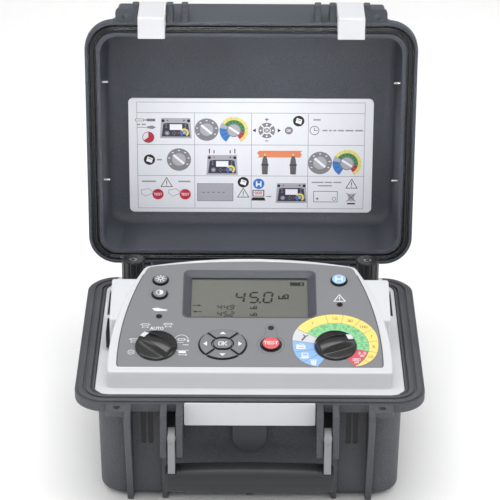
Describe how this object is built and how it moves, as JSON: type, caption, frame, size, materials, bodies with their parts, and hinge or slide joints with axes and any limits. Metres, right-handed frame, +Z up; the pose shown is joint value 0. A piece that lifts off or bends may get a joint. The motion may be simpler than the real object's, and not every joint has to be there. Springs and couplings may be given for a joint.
{
  "type": "digital low-resistance tester",
  "caption": "Rugged-case bench tester with hinged lid, draw latches, folding handle, tilted control deck with display, keys and rotary dials, and screw-down current posts.",
  "frame": {"origin": "on the ground under the centre of the case's rim", "axes": "+X to the user's right, +Y back to the hinge, +Z up"},
  "size_m": [0.315, 0.354, 0.3914],
  "materials": {
    "case_plastic": "fine moulded grain",
    "lid_plastic": "fine moulded grain",
    "seal_rubber": "satin",
    "latch_plastic": "satin",
    "arm_plastic": "satin",
    "grip_rubber": "matte",
    "panel_plastic": "fine matte",
    "plate_plastic": "fine matte",
    "overlay_film": "printed film",
    "frame_plastic": "satin",
    "clear_window": "clear",
    "lcd_glass": "matte polariser",
    "board_laminate": "solder mask",
    "battery_case": "matte",
    "plain_steel": "brushed",
    "copper": "bright",
    "sink_metal": "extruded",
    "iron_core": "laminated",
    "card_film": "printed film",
    "knob_plastic": "glossy",
    "pointer_paint": "painted line",
    "key_grey": "soft touch",
    "key_red": "soft touch",
    "key_blue": "soft touch",
    "switch_plastic": "satin",
    "cap_plastic": "glossy fluted",
    "contact_metal": "nickel plated",
    "socket_red": "glossy",
    "socket_black": "glossy",
    "led_lens": "dark lens",
    "cable_grey": "ribbed"
  },
  "bodies": {
    "case": {"case_base": "case_plastic", "name_plate": "plate_plastic", "hinge_pins": "plain_steel", "handle_pins": "plain_steel", "front_panel": "panel_plastic", "panel_gasket": "seal_rubber", "case_screws": "plain_steel", "control_overlay": "overlay_film", "display_frame": "frame_plastic", "display_window": "clear_window", "lcd_module": "lcd_glass", "backlight_board": "board_laminate", "main_circuit_board": "board_laminate", "board_standoffs": "plain_steel", "power_supply_board": "board_laminate", "transformer": "iron_core", "battery_pack": "battery_case", "battery_bracket": "plain_steel", "heat_sink": "sink_metal", "ribbon_cable": "cable_grey", "mode_switch_body": "switch_plastic", "range_switch_body": "switch_plastic", "tact_switches": "switch_plastic", "indicator_leds": "led_lens", "current_terminal_studs": "contact_metal", "current_terminal_bases": "socket_black", "potential_sockets": "socket_red", "guard_socket": "socket_black", "terminal_busbars": "copper", "mains_inlet": "socket_black", "usb_socket": "contact_metal"},
    "lid": {"case_lid": "lid_plastic", "lid_seal": "seal_rubber", "instruction_card": "card_film", "lid_side_pins": "plain_steel", "latch_pins": "plain_steel"},
    "left_latch": {"latch_left": "latch_plastic"},
    "right_latch": {"latch_right": "latch_plastic"},
    "handle": {"handle_grip": "grip_rubber", "handle_arm_left": "arm_plastic", "handle_arm_right": "arm_plastic"},
    "mode_dial": {"mode_knob": "knob_plastic", "mode_knob_pointer": "pointer_paint", "mode_switch_shaft": "plain_steel"},
    "range_dial": {"range_knob": "knob_plastic", "range_knob_pointer": "pointer_paint", "range_switch_shaft": "plain_steel"},
    "left_washer": {"cap_washer_left": "contact_metal"},
    "left_cap": {"current_cap_left": "cap_plastic"},
    "right_washer": {"cap_washer_right": "contact_metal"},
    "right_cap": {"current_cap_right": "cap_plastic"},
    "backlight_key": {"backlight_button": "key_grey"},
    "contrast_key": {"contrast_button": "key_grey"},
    "save_key": {"save_button": "key_blue"},
    "test_key": {"test_button": "key_red"},
    "up_key": {"up_button": "key_grey"},
    "down_key": {"down_button": "key_grey"},
    "left_key": {"left_button": "key_grey"},
    "right_key": {"right_button": "key_grey"},
    "ok_key": {"ok_button": "key_grey"}
  },
  "joints": [
    {"name": "lid_hinge", "type": "hinge", "parent": "case", "child": "lid", "pos_m": [0, 0.1314, 0.117], "axis": [1, 0, 0], "range_deg": [0, 92.4]},
    {"name": "handle_swing", "type": "hinge", "parent": "case", "child": "handle", "pos_m": [0, -0.136, 0.082], "axis": [-1, 0, 0], "range_deg": [0, 95]},
    {"name": "mode_dial_turn", "type": "hinge", "parent": "case", "child": "mode_dial", "pos_m": [-0.085, -0.06446, 0.13608], "axis": [0, -0.2588, 0.9659], "range_deg": [-167, 64]},
    {"name": "range_dial_turn", "type": "hinge", "parent": "case", "child": "range_dial", "pos_m": [0.0776, -0.0633, 0.13639], "axis": [0, -0.2588, 0.9659], "range_deg": [-69, 205]},
    {"name": "left_latch_pivot", "type": "hinge", "parent": "lid", "child": "left_latch", "pos_m": [-0.0925, 0.14938, 0.37888], "axis": [1, 0, 0], "range_deg": [-95, 7]},
    {"name": "right_latch_pivot", "type": "hinge", "parent": "lid", "child": "right_latch", "pos_m": [0.0925, 0.14938, 0.37888], "axis": [1, 0, 0], "range_deg": [-95, 7]},
    {"name": "backlight_press", "type": "slide", "parent": "case", "child": "backlight_key", "axis": [0, 0.2588, -0.9659], "range_m": [0, 0.001], "stiffness_N_per_m": 400, "springref_m": -0.0005},
    {"name": "contrast_press", "type": "slide", "parent": "case", "child": "contrast_key", "axis": [0, 0.2588, -0.9659], "range_m": [0, 0.001], "stiffness_N_per_m": 400, "springref_m": -0.0005},
    {"name": "save_press", "type": "slide", "parent": "case", "child": "save_key", "axis": [0, 0.2588, -0.9659], "range_m": [0, 0.001], "stiffness_N_per_m": 400, "springref_m": -0.0005},
    {"name": "test_press", "type": "slide", "parent": "case", "child": "test_key", "axis": [0, 0.2588, -0.9659], "range_m": [0, 0.001], "stiffness_N_per_m": 400, "springref_m": -0.0005},
    {"name": "up_press", "type": "slide", "parent": "case", "child": "up_key", "axis": [0, 0.2588, -0.9659], "range_m": [0, 0.001], "stiffness_N_per_m": 400, "springref_m": -0.0005},
    {"name": "down_press", "type": "slide", "parent": "case", "child": "down_key", "axis": [0, 0.2588, -0.9659], "range_m": [0, 0.001], "stiffness_N_per_m": 400, "springref_m": -0.0005},
    {"name": "left_press", "type": "slide", "parent": "case", "child": "left_key", "axis": [0, 0.2588, -0.9659], "range_m": [0, 0.001], "stiffness_N_per_m": 400, "springref_m": -0.0005},
    {"name": "right_press", "type": "slide", "parent": "case", "child": "right_key", "axis": [0, 0.2588, -0.9659], "range_m": [0, 0.001], "stiffness_N_per_m": 400, "springref_m": -0.0005},
    {"name": "ok_press", "type": "slide", "parent": "case", "child": "ok_key", "axis": [0, 0.2588, -0.9659], "range_m": [0, 0.001], "stiffness_N_per_m": 400, "springref_m": -0.0005},
    {"name": "left_washer_lift", "type": "slide", "parent": "case", "child": "left_washer", "axis": [0, 0, 1], "range_m": [0, 0.00625]},
    {"name": "left_cap_turn", "type": "hinge", "parent": "left_washer", "child": "left_cap", "pos_m": [-0.112, 0.077, 0.14], "axis": [0, 0, 1], "range_deg": [0, 1800]},
    {"name": "right_washer_lift", "type": "slide", "parent": "case", "child": "right_washer", "axis": [0, 0, 1], "range_m": [0, 0.00625]},
    {"name": "right_cap_turn", "type": "hinge", "parent": "right_washer", "child": "right_cap", "pos_m": [0.112, 0.077, 0.14], "axis": [0, 0, 1], "range_deg": [0, 1800]}
  ],
  "couplings": [
    {"joint": "left_cap_turn", "follows": "left_washer_lift", "rad_per_m": 5025.1},
    {"joint": "right_cap_turn", "follows": "right_washer_lift", "rad_per_m": 5025.1}
  ]
}
